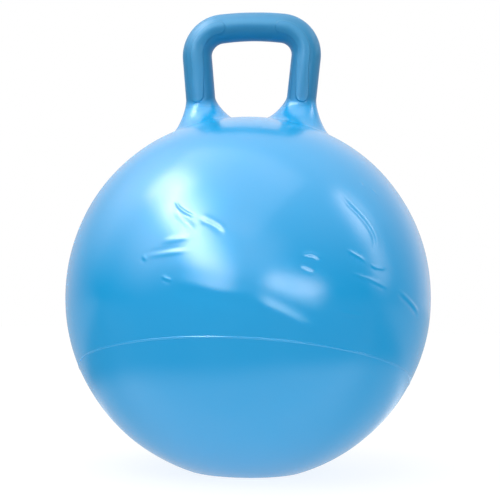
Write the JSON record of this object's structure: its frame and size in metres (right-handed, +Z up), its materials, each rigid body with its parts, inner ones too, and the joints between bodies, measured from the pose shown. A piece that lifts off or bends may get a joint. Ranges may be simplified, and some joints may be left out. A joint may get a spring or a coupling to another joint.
{
  "type": "hopper ball",
  "caption": "Inflated bouncing ball with a hollow loop handle on the crown, a flat to rest on and a filling valve whose stopper pulls out.",
  "frame": {"origin": "middle of the flat that the ball rests on, on the ground plane", "axes": "+Z up through the middle of the ball and of the handle's bar, X across the handle from leg to leg, -Y the front"},
  "size_m": [0.4499, 0.45, 0.5684],
  "materials": {
    "ball_vinyl": "glossy soft vinyl, sky blue",
    "handle_vinyl": "glossy soft vinyl, deeper blue",
    "valve_vinyl": "soft vinyl, satin blue",
    "plug_plastic": "white plastic, satin"
  },
  "bodies": {
    "ball": {"ball_skin": "ball_vinyl", "handle": "handle_vinyl", "valve_insert": "valve_vinyl"},
    "plug": {"valve_plug": "plug_plastic"}
  },
  "joints": [
    {"name": "plug_pull", "type": "slide", "parent": "ball", "child": "plug", "axis": [0, 0, 1], "range_m": [0, 0.018]}
  ]
}
